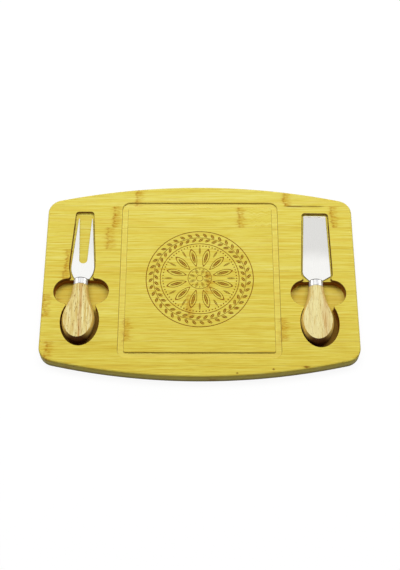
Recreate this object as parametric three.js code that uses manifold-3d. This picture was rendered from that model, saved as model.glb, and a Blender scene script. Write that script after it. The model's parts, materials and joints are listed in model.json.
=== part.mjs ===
// A bamboo cheese board with a two-pronged fork and a chisel knife lying in routed pockets.
// The board is three plies of bamboo strips, glued edge to edge and routed after gluing.
// Millimetres, +Z up. The origin is the middle of the underside, +X is the board's right-hand
// end and +Y its far edge, as seen by someone standing at the near edge.
import * as THREE from "three";
import { mergeVertices } from "three/addons/utils/BufferGeometryUtils.js";
import Module from "manifold-3d";

const wasm = await Module();
wasm.setup();

// Board
const boardLength = 330;
const boardWidth = 225; // across the middle, where the bowed long edges stand furthest out
const boardThickness = 15;
const longEdgeBow = 20; // how far each long edge swells out between the two ends
const cornerRadius = 16;
const edgeRound = 2; // the eased edge round the top and the underside

// Plies and strips
const plyThickness = 5;
const stripCount = 9; // across each ply
const nearTrim = 14.8; // sawn off the glued-up outer plies at the near edge
const farTrim = 2.3; // and at the far edge

// Juice groove
const grooveEndMargin = 80.7; // from the board's end to the groove's outer edge
const grooveLongMargin = 20.3; // from the middle of a long edge to the groove's outer edge
const grooveWidth = 6.4;
const grooveDepth = 2;
const grooveInnerCornerRadius = 2.1;

// Router marks that every cut shares
const rimEase = 0.3; // the rim of each cut is broken by this much
const grooveFloorRound = 0.6;
const slotFloorRound = 0.6;
const pocketFloorRound = 1.6;

// Tool pockets
const pocketEndMargin = 40.5; // from the board's end to the pocket's middle line
const pocketFerruleY = -4; // where the pocket's layout puts the front of the ferrule
const pocketDepth = 11;
const pocketNeckShare = 0.776; // of the bowl's width, where the finger slot opens out of it
const pocketCornerRadius = 1.5; // the two corners on each side of that neck
const handleClearance = 2.95;
const fingerSlotRadius = 14.75; // of its two round ends
const fingerSlotSpread = 14.2; // from the pocket's middle line to the centre of each round end
const fingerSlotBack = 13; // from the front of the ferrule back to the finger slot's middle
const slotSideClearance = 1.5;
const slotTipClearance = 2.1; // beside the blade's tip
const slotEndClearance = 3.05; // past the tip of the longer blade
const slotCornerRadius = 3.5;
const slotKneeRadius = 90; // where the slot starts to narrow towards its end
const slotShoulderRadius = 8; // where it starts to narrow towards its mouth
const slotWaistInset = 1.7; // how much narrower the mouth is on each side
const slotMouthRadius = 3;

// What both tools share
const steelThickness = 1.5;
const steelEdgeEase = 0.25;
const fitGap = 0.3; // between pieces that seat on or in each other
const tangWidth = 5;
const tangTipWidth = 3.6;
const tangLength = 32;
const bladeShift = 1.15; // each blade is ground this far to the right of its tang's middle line
const ferruleRadius = 7.35;
const ferruleWall = 0.6;
const ferruleLength = 7.6;
const ferruleRound = 0.5;
const neckStep = 1; // how far the handle's neck stands out past the ferrule
const neckRound = 0.7;
const bulbRadius = 17.15;
const bulbEndLength = 24.7; // from the bulb's widest place to the end of the handle
const handleLength = 64.6; // from the back of the ferrule to the end of the handle
const handleThickness = 16; // between the two flats
const bulbRun = 11.5; // how far the bulb's fullness carries towards the neck
const neckRun = 17.4; // how far the neck's slimness carries towards the bulb

// Fork
const forkLength = 74.5;
const forkBaseHalfWidth = 7.4; // where it leaves the ferrule
const forkHalfWidth = 12.2;
const forkShoulderLength = 14.5; // from the front of the ferrule to the widest place
const forkTipHalfWidth = 7.5;
const forkGapHalfWidth = 4.1; // at the foot of the gap between the prongs
const forkGapStart = 19.4;
const prongTipWidth = 0.8;
const prongTipRadius = 0.35;

// Chisel knife. Its right shoulder is cut flat and its left one is rounder.
const chiselLength = 80.6;
const chiselHalfWidth = 14.9;
const chiselTipHalfWidth = 12;
const chiselLeftShoulder = { base: 7.5, length: 7.7, radius: 8 };
const chiselRightShoulder = { base: 5, length: 6.4, radius: 1.2 };
const chiselTipRadius = 1.4;
const chiselBevelLength = 3.2;
const chiselEdgeThickness = 0.35;

// How far each pocket and its slot were cut off their layout, and how each loose tool happens to
// lie. A tool's shares are of the clearance round its handle. Turns are about the front of the
// ferrule, anticlockwise seen from above.
const forkPlace = {
  pocket: { moveY: 0.85 },
  slot: { moveX: -0.3, turnDegrees: 0 },
  tool: { playShares: { x: -0.373, y: 0.576 }, turnDegrees: -0.4 },
};
const chiselPlace = {
  pocket: { moveY: -0.75 },
  slot: { moveX: -0.6, turnDegrees: -0.8 },
  tool: { playShares: { x: -0.627, y: 0.508 }, turnDegrees: -0.7 },
};

// Fineness
const longEdgeSteps = 20;
const cornerSteps = 6;
const lobeSteps = 18;
const roundSteps = 3;
const latheSteps = 36;
const profileSteps = 11;
const weldDistance = 1e-4;
const overrun = 1; // how far a cutter reaches past the face that it opens

// Heights that follow from the seats
const halfSteel = steelThickness / 2;
const halfHandle = handleThickness / 2;
const toolAxisZ = boardThickness - pocketDepth + fitGap + Math.max(halfHandle, ferruleRadius);
const slotDepth = boardThickness - (toolAxisZ - halfSteel - fitGap);
const pocketX = boardLength / 2 - pocketEndMargin;
const stripWidth = (boardWidth + nearTrim + farTrim) / stripCount;
const handleEndY = -(ferruleLength + handleLength);
const bulbY = handleEndY + bulbEndLength;
const neckRadius = ferruleRadius + neckStep;
const tenonRadius = ferruleRadius - ferruleWall - fitGap;
const tangRadius = Math.hypot(tangWidth / 2, halfSteel);
const tangBoreRadius = tangRadius + fitGap;

// Outlines

const point = (x, y) => new THREE.Vector2(x, y);

// An arc's points from one angle to the other, the short way that the sign of the turn says.
function arc(x, y, radius, from, to, steps) {
  return new THREE.EllipseCurve(x, y, radius, radius, from, to, to < from).getPoints(steps);
}

// Leaves out each point that repeats the one before it.
function tidy(points) {
  return points.filter((p, i) => p.distanceTo(points.at(i - 1)) > weldDistance);
}

// A polygon whose corners are rounded. Each corner is { x, y, radius }, running anticlockwise.
function roundedOutline(corners) {
  const outline = corners.flatMap((corner, i) => {
    const here = point(corner.x, corner.y);
    if (!corner.radius) return [here];
    const back = point(corners.at(i - 1).x, corners.at(i - 1).y).sub(here).normalize();
    const next = corners[(i + 1) % corners.length];
    const ahead = point(next.x, next.y).sub(here).normalize();
    const halfAngle = Math.acos(back.dot(ahead)) / 2;
    const bisector = back.clone().add(ahead).normalize();
    const centre = here.clone().addScaledVector(bisector, corner.radius / Math.sin(halfAngle));
    const reach = corner.radius / Math.tan(halfAngle);
    const start = here.clone().addScaledVector(back, reach).sub(centre);
    const end = here.clone().addScaledVector(ahead, reach).sub(centre);
    const turn = Math.atan2(start.cross(end), start.dot(end));
    return arc(centre.x, centre.y, corner.radius, start.angle(), start.angle() + turn, cornerSteps);
  });
  return tidy(outline);
}

// The outline moved outwards by a distance, or inwards where it is negative.
function offsetOutline(points, distance) {
  return points.map((p, i) => {
    const before = p.clone().sub(points.at(i - 1)).normalize();
    const after = points[(i + 1) % points.length].clone().sub(p).normalize();
    const mitre = point(before.y + after.y, -before.x - after.x).normalize();
    const lean = mitre.x * after.y - mitre.y * after.x;
    return p.clone().addScaledVector(mitre, distance / lean);
  });
}

function mirrorX(points) {
  return points.map((p) => point(-p.x, p.y)).reverse();
}

// Solids

function toSolid(geometry) {
  const bare = new THREE.BufferGeometry();
  bare.setAttribute("position", geometry.getAttribute("position"));
  bare.setIndex(geometry.index);
  const merged = mergeVertices(bare, weldDistance);
  const corners = Array.from(merged.index.array);
  const faces = [];
  for (let i = 0; i < corners.length; i += 3) {
    const [a, b, c] = corners.slice(i, i + 3);
    if (a !== b && b !== c && c !== a) faces.push(a, b, c);
  }
  return new wasm.Manifold(
    new wasm.Mesh({
      numProp: 3,
      vertProperties: merged.getAttribute("position").array,
      triVerts: Uint32Array.from(faces),
    }),
  );
}

function toGeometry(solid) {
  const mesh = solid.getMesh();
  const geometry = new THREE.BufferGeometry();
  geometry.setAttribute("position", new THREE.BufferAttribute(mesh.vertProperties, 3));
  geometry.setIndex(new THREE.BufferAttribute(mesh.triVerts, 1));
  return geometry;
}

// A closed solid that follows one outline up through levels. Each level is { z, grow }: the
// outline moved outwards by grow at that height. The first level is the lowest.
function stackedSolid(outline, levels) {
  const count = outline.length;
  const positions = levels.flatMap(({ z, grow }) =>
    offsetOutline(outline, grow).flatMap((p) => [p.x, p.y, z]),
  );
  const faces = [];
  for (let level = 0; level + 1 < levels.length; level++) {
    for (let i = 0; i < count; i++) {
      const a = level * count + i;
      const b = level * count + ((i + 1) % count);
      faces.push(a, b, b + count, a, b + count, a + count);
    }
  }
  const top = (levels.length - 1) * count;
  const topRing = offsetOutline(outline, levels.at(-1).grow);
  const bottomRing = offsetOutline(outline, levels[0].grow);
  for (const [a, b, c] of THREE.ShapeUtils.triangulateShape(topRing, [])) {
    faces.push(top + a, top + b, top + c);
  }
  for (const [a, b, c] of THREE.ShapeUtils.triangulateShape(bottomRing, [])) {
    faces.push(c, b, a);
  }
  const geometry = new THREE.BufferGeometry();
  geometry.setAttribute("position", new THREE.Float32BufferAttribute(positions, 3));
  geometry.setIndex(faces);
  return toSolid(geometry);
}

function box(low, high) {
  const size = high.clone().sub(low);
  const middle = low.clone().add(high).multiplyScalar(0.5);
  const geometry = new THREE.BoxGeometry(size.x, size.y, size.z);
  return toSolid(geometry.translate(middle.x, middle.y, middle.z));
}

// A body of revolution about +Y. The profile runs from the top of the axis down the outside.
function lathe(profile) {
  return toSolid(new THREE.LatheGeometry(profile.toReversed(), latheSteps));
}

// Levels of a rounded edge of the board, from a flat face to the upright side.
function roundLevels(flatZ, radius, side) {
  return Array.from({ length: roundSteps + 1 }, (_, i) => {
    const angle = (i / roundSteps) * (Math.PI / 2);
    const z = flatZ + side * radius * (1 - Math.cos(angle));
    return { z, grow: -radius * (1 - Math.sin(angle)) };
  });
}

// A routed cut of one depth: a rounded floor, upright walls and an eased rim. Where sign is -1
// it is what the router leaves standing inside the cut instead.
function routed(outline, depth, floorRound, sign = 1) {
  const floorZ = boardThickness - depth;
  const floorLevels = roundLevels(floorZ, floorRound, 1);
  const rimLevels = [
    { z: boardThickness - rimEase, grow: 0 },
    { z: boardThickness, grow: rimEase },
    { z: boardThickness + overrun, grow: rimEase },
  ];
  const levels = [...floorLevels, ...rimLevels];
  if (sign < 0) levels.unshift({ z: floorZ - overrun, grow: floorLevels[0].grow });
  return stackedSolid(
    outline,
    levels.map(({ z, grow }) => ({ z, grow: sign * grow })),
  );
}

// Board blank

function boardOutline() {
  const halfLength = boardLength / 2;
  const halfWidth = boardWidth / 2;
  const radius = (halfLength ** 2 + longEdgeBow ** 2) / (2 * longEdgeBow);
  const centreY = halfWidth - radius;
  const cornerX = halfLength - cornerRadius;
  const cornerY = centreY + Math.sqrt((radius - cornerRadius) ** 2 - cornerX ** 2);
  const cornerAngle = Math.atan2(cornerY - centreY, cornerX);
  const farEdge = arc(0, centreY, radius, cornerAngle, Math.PI - cornerAngle, longEdgeSteps);
  const rightCorner = arc(cornerX, cornerY, cornerRadius, 0, cornerAngle, cornerSteps);
  const farHalf = [...rightCorner, ...farEdge, ...mirrorX(rightCorner)];
  const nearHalf = farHalf.map((p) => point(-p.x, -p.y));
  return tidy([...farHalf, ...nearHalf]);
}

const blank = stackedSolid(boardOutline(), [
  ...roundLevels(0, edgeRound, 1),
  ...roundLevels(boardThickness, edgeRound, -1).reverse(),
]);

// Juice groove: a flat-bottomed channel round a rounded rectangle.
function grooveCutter() {
  const halfX = boardLength / 2 - grooveEndMargin;
  const halfY = boardWidth / 2 - grooveLongMargin;
  const frame = (inset, radius) =>
    roundedOutline([
      { x: halfX - inset, y: halfY - inset, radius },
      { x: inset - halfX, y: halfY - inset, radius },
      { x: inset - halfX, y: inset - halfY, radius },
      { x: halfX - inset, y: inset - halfY, radius },
    ]);
  const outer = frame(0, grooveInnerCornerRadius + grooveWidth);
  const inner = frame(grooveWidth, grooveInnerCornerRadius);
  return routed(outer, grooveDepth, grooveFloorRound).subtract(
    routed(inner, grooveDepth, grooveFloorRound, -1),
  );
}

const fingerY = pocketFerruleY - fingerSlotBack;

// The shallow slot that the blade lies in. It follows the blade's own widths, draws in at the
// blade's shoulders and opens into the finger slot through a rounded mouth.
function slotCutter(blade, place) {
  const wide = blade.halfWidth + slotSideClearance;
  const narrow = blade.tipHalfWidth + slotTipClearance;
  const waist = wide - slotWaistInset;
  const shoulderY = pocketFerruleY + blade.shoulderLength;
  const endY = pocketFerruleY + Math.max(forkLength, chiselLength) + slotEndClearance;

  // The mouth's round touches the slot's side and the finger slot's edge.
  const mouthX = waist + slotMouthRadius;
  const nearX = Math.min(mouthX, fingerSlotSpread);
  const reach = fingerSlotRadius + slotMouthRadius;
  const mouthY = fingerY + Math.sqrt(reach ** 2 - (mouthX - nearX) ** 2);
  const touchAngle = Math.atan2(fingerY - mouthY, nearX - mouthX);
  const mouth = arc(mouthX, mouthY, slotMouthRadius, touchAngle, -Math.PI, cornerSteps);

  const right = [
    { x: mouth[0].x, y: fingerY, radius: 0 },
    ...mouth.map(({ x, y }) => ({ x, y, radius: 0 })),
    { x: wide, y: shoulderY, radius: slotShoulderRadius },
    { x: wide, y: shoulderY + slotShoulderRadius, radius: slotKneeRadius },
    { x: narrow, y: endY, radius: slotCornerRadius },
  ];
  const left = right.toReversed().map((corner) => ({ ...corner, x: -corner.x }));
  const ferruleFront = point(0, pocketFerruleY);
  const turn = THREE.MathUtils.degToRad(place.turnDegrees);
  const outline = roundedOutline([...right, ...left]).map((p) =>
    p.rotateAround(ferruleFront, turn).add(point(place.moveX, 0)),
  );
  return routed(outline, slotDepth, slotFloorRound);
}

// The deep pocket: an oval bowl for the handle, and a slot across its neck with round ends, in
// which a finger and thumb reach down beside the handle.
function deepCutter() {
  const bowlX = bulbRadius + handleClearance;
  const bowlY = bulbEndLength + handleClearance;
  const bowlCentreY = pocketFerruleY + bulbY;
  const neck = pocketNeckShare * bowlX;
  const bowlAngle = Math.acos(neck / bowlX);
  const lobeAngle = -Math.acos((neck - fingerSlotSpread) / fingerSlotRadius);
  const bowl = new THREE.EllipseCurve(0, bowlCentreY, bowlX, bowlY, -Math.PI / 2, bowlAngle);
  const lobe = arc(fingerSlotSpread, fingerY, fingerSlotRadius, lobeAngle, Math.PI / 2, lobeSteps);
  const plain = ({ x, y }) => ({ x, y, radius: 0 });
  const corner = ({ x, y }) => ({ x, y, radius: pocketCornerRadius });
  const bowlPoints = bowl.getPoints(lobeSteps);
  const right = [
    ...bowlPoints.slice(0, -1).map(plain),
    corner(bowlPoints.at(-1)),
    corner(lobe[0]),
    ...lobe.slice(1).map(plain),
  ];
  const left = right.toReversed().map((p) => ({ ...p, x: -p.x }));
  return routed(roundedOutline([...right, ...left]), pocketDepth, pocketFloorRound);
}

function pocket(side, blade, place) {
  const cut = deepCutter().add(slotCutter(blade, place.slot));
  return cut.translate([side * pocketX, place.pocket.moveY, 0]);
}

const forkPocket = pocket(
  -1,
  {
    halfWidth: forkHalfWidth,
    tipHalfWidth: forkTipHalfWidth,
    shoulderLength: forkShoulderLength,
  },
  forkPlace,
);
const chiselPocket = pocket(
  1,
  {
    halfWidth: chiselHalfWidth,
    tipHalfWidth: chiselTipHalfWidth,
    shoulderLength: Math.max(chiselLeftShoulder.length, chiselRightShoulder.length),
  },
  chiselPlace,
);
const routedBoard = blank.subtract(grooveCutter()).subtract(forkPocket).subtract(chiselPocket);

// Blades, in the tool's own frame: the front of the ferrule at the origin, the blade towards +Y
// and the mid-thickness at z = 0.

function tang() {
  const outline = [
    point(-tangWidth / 2, fitGap + overrun),
    point(-tangWidth / 2, -tangLength / 2),
    point(-tangTipWidth / 2, -tangLength),
    point(tangTipWidth / 2, -tangLength),
    point(tangWidth / 2, -tangLength / 2),
    point(tangWidth / 2, fitGap + overrun),
  ];
  return stackedSolid(outline, [
    { z: -halfSteel, grow: 0 },
    { z: halfSteel, grow: 0 },
  ]);
}

function steelPlate(outline) {
  return stackedSolid(outline, [
    { z: -halfSteel, grow: -steelEdgeEase },
    { z: steelEdgeEase - halfSteel, grow: 0 },
    { z: halfSteel - steelEdgeEase, grow: 0 },
    { z: halfSteel, grow: -steelEdgeEase },
  ]);
}

// Each shoulder is one arc, from the ferrule round past the widest place, and each prong's outer
// edge is the line from the tip that just touches it.
function forkBlade() {
  const spread = forkHalfWidth - forkBaseHalfWidth;
  const rise = forkShoulderLength - fitGap;
  const radius = (spread ** 2 + rise ** 2) / (2 * spread);
  const centre = point(forkHalfWidth - radius, forkShoulderLength);
  const tip = point(forkTipHalfWidth, forkLength).sub(centre);
  const from = Math.atan2(-rise, radius - spread);
  const to = tip.angle() - Math.acos(radius / tip.length());
  const shoulder = arc(centre.x, centre.y, radius, from, to, cornerSteps);
  const right = [
    ...shoulder.map(({ x, y }) => ({ x, y, radius: 0 })),
    { x: forkTipHalfWidth, y: forkLength, radius: prongTipRadius },
    { x: forkTipHalfWidth - prongTipWidth, y: forkLength, radius: prongTipRadius },
    { x: forkGapHalfWidth, y: forkGapStart, radius: forkGapHalfWidth },
  ];
  const left = right.toReversed().map((corner) => ({ ...corner, x: -corner.x }));
  return steelPlate(roundedOutline([...right, ...left]));
}

function chiselBlade() {
  const shoulder = ({ base, length, radius }, side) => [
    { x: side * base, y: fitGap, radius: 0 },
    { x: side * chiselHalfWidth, y: length, radius },
    { x: side * chiselTipHalfWidth, y: chiselLength, radius: chiselTipRadius },
  ];
  const outline = [
    ...shoulder(chiselRightShoulder, 1),
    ...shoulder(chiselLeftShoulder, -1).reverse(),
  ];
  const plate = steelPlate(roundedOutline(outline));
  // One wedge, seen from the side, takes the upper face down to the cutting edge.
  const edgeZ = chiselEdgeThickness - halfSteel;
  const slope = (halfSteel - edgeZ) / chiselBevelLength;
  const wedge = new THREE.Shape([
    point(chiselLength - chiselBevelLength - overrun, halfSteel + slope * overrun),
    point(chiselLength + overrun, edgeZ - slope * overrun),
    point(chiselLength + overrun, halfSteel + slope * overrun),
  ]);
  const width = 2 * (chiselHalfWidth + overrun);
  const cut = new THREE.ExtrudeGeometry(wedge, { depth: width, bevelEnabled: false, steps: 1 });
  cut.translate(0, 0, -width / 2);
  // The shape's first axis becomes Y, its second Z and the extrusion X.
  cut.applyMatrix4(new THREE.Matrix4().set(0, 0, 1, 0, 1, 0, 0, 0, 0, 1, 0, 0, 0, 0, 0, 1));
  return plate.subtract(toSolid(cut));
}

// A short steel cup over the handle's tenon, its front turned in round the tang.
function ferrule() {
  const inner = ferruleRadius - ferruleWall;
  const rim = arc(ferruleRadius - ferruleRound, -ferruleRound, ferruleRound, Math.PI / 2, 0, roundSteps);
  return lathe([
    point(tangBoreRadius, 0),
    ...rim,
    point(ferruleRadius, -ferruleLength),
    point(inner, -ferruleLength),
    point(inner, -ferruleWall),
    point(tangBoreRadius, -ferruleWall),
    point(tangBoreRadius, 0),
  ]);
}

// A turned handle with a tenon for the ferrule, a bore for the tang and two flats.
function handle() {
  const shoulderY = -ferruleLength - fitGap;
  const tenonY = -ferruleWall - fitGap;
  const boreEndY = -tangLength - fitGap;
  const bulge = new THREE.CubicBezierCurve(
    point(neckRadius, shoulderY - neckRound),
    point(neckRadius, shoulderY - neckRun),
    point(bulbRadius, bulbY + bulbRun),
    point(bulbRadius, bulbY),
  );
  const end = new THREE.EllipseCurve(0, bulbY, bulbRadius, bulbEndLength, 0, -Math.PI / 2, true);
  const turned = lathe(
    tidy([
      point(0, boreEndY),
      point(tangBoreRadius, boreEndY),
      point(tangBoreRadius, tenonY),
      point(tenonRadius, tenonY),
      point(tenonRadius, shoulderY),
      ...arc(neckRadius - neckRound, shoulderY - neckRound, neckRound, Math.PI / 2, 0, roundSteps),
      ...bulge.getPoints(profileSteps),
      ...end.getPoints(profileSteps),
    ]),
  );
  const reach = bulbRadius + overrun;
  const slab = box(
    new THREE.Vector3(-reach, handleEndY - overrun, -halfHandle),
    new THREE.Vector3(reach, overrun, halfHandle),
  );
  return turned.intersect(slab);
}

// Materials

const bamboo = { color: 0xd9bf5a, roughness: 0.55, metalness: 0 };
const handleWood = { color: 0xdcc48a, roughness: 0.6, metalness: 0 };
const bladeSteel = { color: 0xd8d8d6, roughness: 0.28, metalness: 1 };
const ferruleSteel = { color: 0xe2e2e2, roughness: 0.22, metalness: 1 };

function namedMesh(name, solid, look) {
  const mesh = new THREE.Mesh(toGeometry(solid), new THREE.MeshStandardMaterial(look));
  mesh.name = name;
  return mesh;
}

// Assembly

// The routed board sawn back into the strips that it was glued up from. A pocket that parts a
// strip right across leaves it in separate lengths.
function boardStrips() {
  const plies = ["bottom", "core", "top"];
  const halfWidth = boardWidth / 2;
  const meshes = [];
  plies.forEach((ply, level) => {
    const lowZ = level * plyThickness;
    const highZ = level === plies.length - 1 ? boardThickness : lowZ + plyThickness;
    // The core's joints lie half a strip away from its neighbours', like bricks in a wall.
    const start = -halfWidth - nearTrim + (level % 2) * (stripWidth / 2);
    for (let number = 1; number <= stripCount; number++) {
      const nearY = Math.max(start + (number - 1) * stripWidth, -halfWidth);
      const farY = number === stripCount ? halfWidth : start + number * stripWidth;
      const low = new THREE.Vector3(-boardLength, nearY, lowZ);
      const high = new THREE.Vector3(boardLength, farY, highZ);
      const lengths = routedBoard.intersect(box(low, high)).decompose();
      const middle = (solid) => solid.boundingBox().min[0] + solid.boundingBox().max[0];
      lengths.sort((a, b) => middle(a) - middle(b));
      const places = lengths.length === 1 ? [""] : ["_left", "_middle", "_right"];
      const name = `${ply}_strip_${number}`;
      lengths.forEach((solid, i) => meshes.push(namedMesh(name + places[i], solid, bamboo)));
    }
  });
  return meshes;
}

// The blade's plate stands off its tang's middle line, and the tang runs down the handle's.
function tool(name, plate, side, { pocket: cut, tool: lie }) {
  const blade = plate.translate([bladeShift, 0, 0]).add(tang());
  const group = new THREE.Group();
  group.add(namedMesh(`${name}_blade`, blade, bladeSteel));
  group.add(namedMesh(`${name}_ferrule`, ferrule(), ferruleSteel));
  group.add(namedMesh(`${name}_handle`, handle(), handleWood));
  const x = side * pocketX + lie.playShares.x * handleClearance;
  const y = pocketFerruleY + cut.moveY + lie.playShares.y * handleClearance;
  group.position.set(x, y, toolAxisZ);
  group.rotation.z = THREE.MathUtils.degToRad(lie.turnDegrees);
  return group;
}

const cheeseBoard = new THREE.Group();
cheeseBoard.add(...boardStrips());
cheeseBoard.add(tool("fork", forkBlade(), -1, forkPlace));
cheeseBoard.add(tool("chisel_knife", chiselBlade(), 1, chiselPlace));

export default cheeseBoard;
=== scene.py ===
"""The looks of a bamboo cheese board, its fork and its chisel knife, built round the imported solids.

Lengths are millimetres in the row frame until a mesh is finished, and metres from then on.
"""

import json
import math
import random

import bpy
import numpy as np
from mathutils import Matrix, Quaternion, Vector


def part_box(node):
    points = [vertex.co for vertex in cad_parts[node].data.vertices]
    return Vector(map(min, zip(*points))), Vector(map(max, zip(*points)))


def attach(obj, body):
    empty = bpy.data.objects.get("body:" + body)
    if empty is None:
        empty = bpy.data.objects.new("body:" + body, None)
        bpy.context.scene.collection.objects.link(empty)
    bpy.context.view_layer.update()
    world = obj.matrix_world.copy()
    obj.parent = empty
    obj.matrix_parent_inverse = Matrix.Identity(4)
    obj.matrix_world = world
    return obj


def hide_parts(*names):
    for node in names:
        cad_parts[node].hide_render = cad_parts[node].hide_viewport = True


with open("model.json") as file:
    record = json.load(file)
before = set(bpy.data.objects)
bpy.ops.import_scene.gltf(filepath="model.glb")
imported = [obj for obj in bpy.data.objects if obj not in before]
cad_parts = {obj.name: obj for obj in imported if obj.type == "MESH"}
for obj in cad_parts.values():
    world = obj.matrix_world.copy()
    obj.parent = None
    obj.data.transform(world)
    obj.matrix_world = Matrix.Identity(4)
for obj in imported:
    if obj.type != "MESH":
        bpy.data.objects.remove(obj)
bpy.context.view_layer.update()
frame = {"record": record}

MM = 0.001
TAU = 2 * math.pi

# Board
BOARD_NODES = frame["record"]["behaviour"]["bodies"]["board"]
HALF_LENGTH, HALF_WIDTH, TOP = (max(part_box(n)[1][i] for n in BOARD_NODES) / MM for i in range(3))
LONG_EDGE_BOW = 20
CORNER_RADIUS = 16
EDGE_ROUND = 2
# No cut comes this close to the board's sides
UNCUT_EDGE = 7

# Juice groove
GROOVE_END_MARGIN = 80.7
GROOVE_LONG_MARGIN = 20.3
GROOVE_WIDTH = 6.4
GROOVE_DEPTH = 2
GROOVE_INNER_CORNER = 2.1

# Router marks
RIM_EASE = 0.3
FLOOR_ROUND = 0.6
SLOT_FLOOR_ROUND = 1.2
POCKET_FLOOR_ROUND = 1.6

# Tool pockets
POCKET_X = HALF_LENGTH - 40.5
FERRULE_Y = -4
POCKET_DEPTH = 11
NECK_SHARE = 0.776
NECK_CORNER = 1.5
HANDLE_CLEARANCE = 2.95
FINGER_RADIUS = 14.75
FINGER_SPREAD = 14.2
FINGER_BACK = 13
SLOT_SIDE_CLEARANCE = 1.5
SLOT_TIP_CLEARANCE = 2.1
SLOT_END_CLEARANCE = 3.05
SLOT_CORNER = 3.5
SLOT_KNEE = 90
SLOT_SHOULDER = 8
SLOT_WAIST_INSET = 1.7
SLOT_MOUTH = 3

# Both tools, in a frame with the front of the ferrule at the origin and the blade towards +Y
STEEL = 1.5
STEEL_EASE = 0.25
FIT_GAP = 0.3
TANG_WIDTH = 5
TANG_TIP_WIDTH = 3.6
TANG_LENGTH = 32
BLADE_SHIFT = 1.15
FERRULE_RADIUS = 7.35
FERRULE_WALL = 0.6
FERRULE_LENGTH = 7.6
FERRULE_ROUND = 0.5
NECK_RADIUS = FERRULE_RADIUS + 1
NECK_ROUND = 0.7
BULB_RADIUS = 17.15
BULB_END = 24.7
HANDLE_LENGTH = 64.6
HANDLE_THICKNESS = 16
BULB_RUN = 11.5
NECK_RUN = 17.4
HANDLE_END_Y = -(FERRULE_LENGTH + HANDLE_LENGTH)
BULB_Y = HANDLE_END_Y + BULB_END
AXIS_Z = TOP - POCKET_DEPTH + FIT_GAP + HANDLE_THICKNESS / 2
SLOT_DEPTH = TOP - (AXIS_Z - STEEL / 2 - FIT_GAP)

# Floors of the three kinds of cut
POCKET_FLOOR = TOP - POCKET_DEPTH
SLOT_FLOOR = TOP - SLOT_DEPTH
GROOVE_FLOOR = TOP - GROOVE_DEPTH

# Fork
FORK_LENGTH = 74.5
FORK_BASE = 7.4
FORK_HALF_WIDTH = 12.2
FORK_SHOULDER = 14.5
FORK_TIP = 7.5
FORK_GAP = 4.1
FORK_GAP_START = 19.4
PRONG_TIP = 0.8
PRONG_TIP_RADIUS = 0.35

# Chisel knife
CHISEL_LENGTH = 80.6
CHISEL_HALF_WIDTH = 14.9
CHISEL_TIP = 12
CHISEL_LEFT = {"base": 7.5, "length": 7.7, "radius": 8}
CHISEL_RIGHT = {"base": 5, "length": 6.4, "radius": 1.2}
CHISEL_TIP_RADIUS = 1.4
CHISEL_BEVEL = 3.2
CHISEL_EDGE = 0.35

# Each tool's pocket and how the tool lies in it
PLACES = {
    "fork": {
        "side": -1,
        "pocket_y": 0.85,
        "slot_x": -0.3,
        "slot_turn": 0,
        "play_shares": (-0.373, 0.576),
        "turn": -0.4,
        "slot_widths": (FORK_HALF_WIDTH, FORK_TIP, FORK_SHOULDER),
    },
    "chisel_knife": {
        "side": 1,
        "pocket_y": -0.75,
        "slot_x": -0.6,
        "slot_turn": -0.8,
        "play_shares": (-0.627, 0.508),
        "turn": -0.7,
        "slot_widths": (CHISEL_HALF_WIDTH, CHISEL_TIP, CHISEL_LEFT["length"]),
    },
}

# Camera, as solved from the photograph
FOCAL_PIXELS = 1084.6
IMAGE_HEIGHT = 570
SENSOR = 36
CAMERA_DISTANCE = 1157.7
CAMERA_ELEVATION = 62.93
CAMERA_ROLL = -0.098
LOOK_AT = (0.3, -1.46, 0.6)

# Light and floor, in metres and watts
AMBIENT = 0.09
FLOOR_SIZE = 8
FLOOR_DROP = 0.00005
FLOOR_TONES = [(0, (81, 81, 81)), (1, (87, 87, 87))]
FLOOR_LIFT = 0.92
# Each lamp's place, size and power. It looks at the middle of the board.
LAMPS = {
    "key": ((0, 0.74, 2.2), (2.6, 1.0), 54),
    "fill": ((0, -1.6, 0.32), (2.4, 0.4), 5.5),
    "rim_right": ((1.3, 0.7, 0.5), (0.45, 0.45), 3.2),
    "rim_left": ((-1.3, 0.7, 0.5), (0.45, 0.45), 3.2),
}

# Engraved medallion
MEDALLION = (0, -0.8)
MEDALLION_REACH = 60
ENGRAVING_DEPTH = 0.3
MEDALLION_RINGS = [(56.6, 0.9), (48.9, 0.6), (41.6, 0.8), (12.4, 0.6), (3.4, 0.6)]
VEIN = 0.35
WREATH_RADIUS = 48.9
WREATH_LEAVES = 40
LEAF_GAP = 0.9
LEAF_LENGTH = 6.4
LEAF_WIDTH = 2.6
LEAF_LEAN = math.radians(40)
PETAL_INSET = 0.84
BEADS = 72
BEAD_RADIUS = 0.75
BEAD_RING_RADIUS = 38.9
# Rings of petals: how many, where they start and end along the spoke, and their half-width
ROSETTE = [(12, 14, 36.5, 3.6), (8, 4.6, 11.6, 1.5)]
# The leaves on a petal and between two: their start, length and width, as shares of the petal's
PETAL_LEAVES = [(0.2, 0.62, 0.8), (0.64, 0.42, 0.42)]

# Bamboo. Each top strip, by its number from the near edge, is darker the lower its tone is. The tones
# rise from the near edge to the far one, partly the strips' own tone and partly painted light from
# behind.
TOP_TONES_AND_LIGHT = {1: -1.3, 2: -0.9, 3: -0.5, 4: -0.3, 5: -0.2, 6: 0.1, 7: 0.1, 8: 0.3, 9: 0.8}
TONE_STEP = 0.04
BAMBOO_TONES = [
    (0.34, (205, 174, 56)),
    (0.44, (219, 198, 76)),
    (0.53, (227, 212, 94)),
    (0.66, (235, 225, 128)),
]
WARM_STREAK = (220, 178, 58)
DARK_THREAD = (196, 152, 44)
DARK_DASH = (176, 132, 42)
BAMBOO_GLOSS = 0.1
SEED = 7
# How far the noise behind the grain moves on from strip to strip and from ply to ply
STRIP_SEED = 13.7
PLY_SEED = 31
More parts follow.
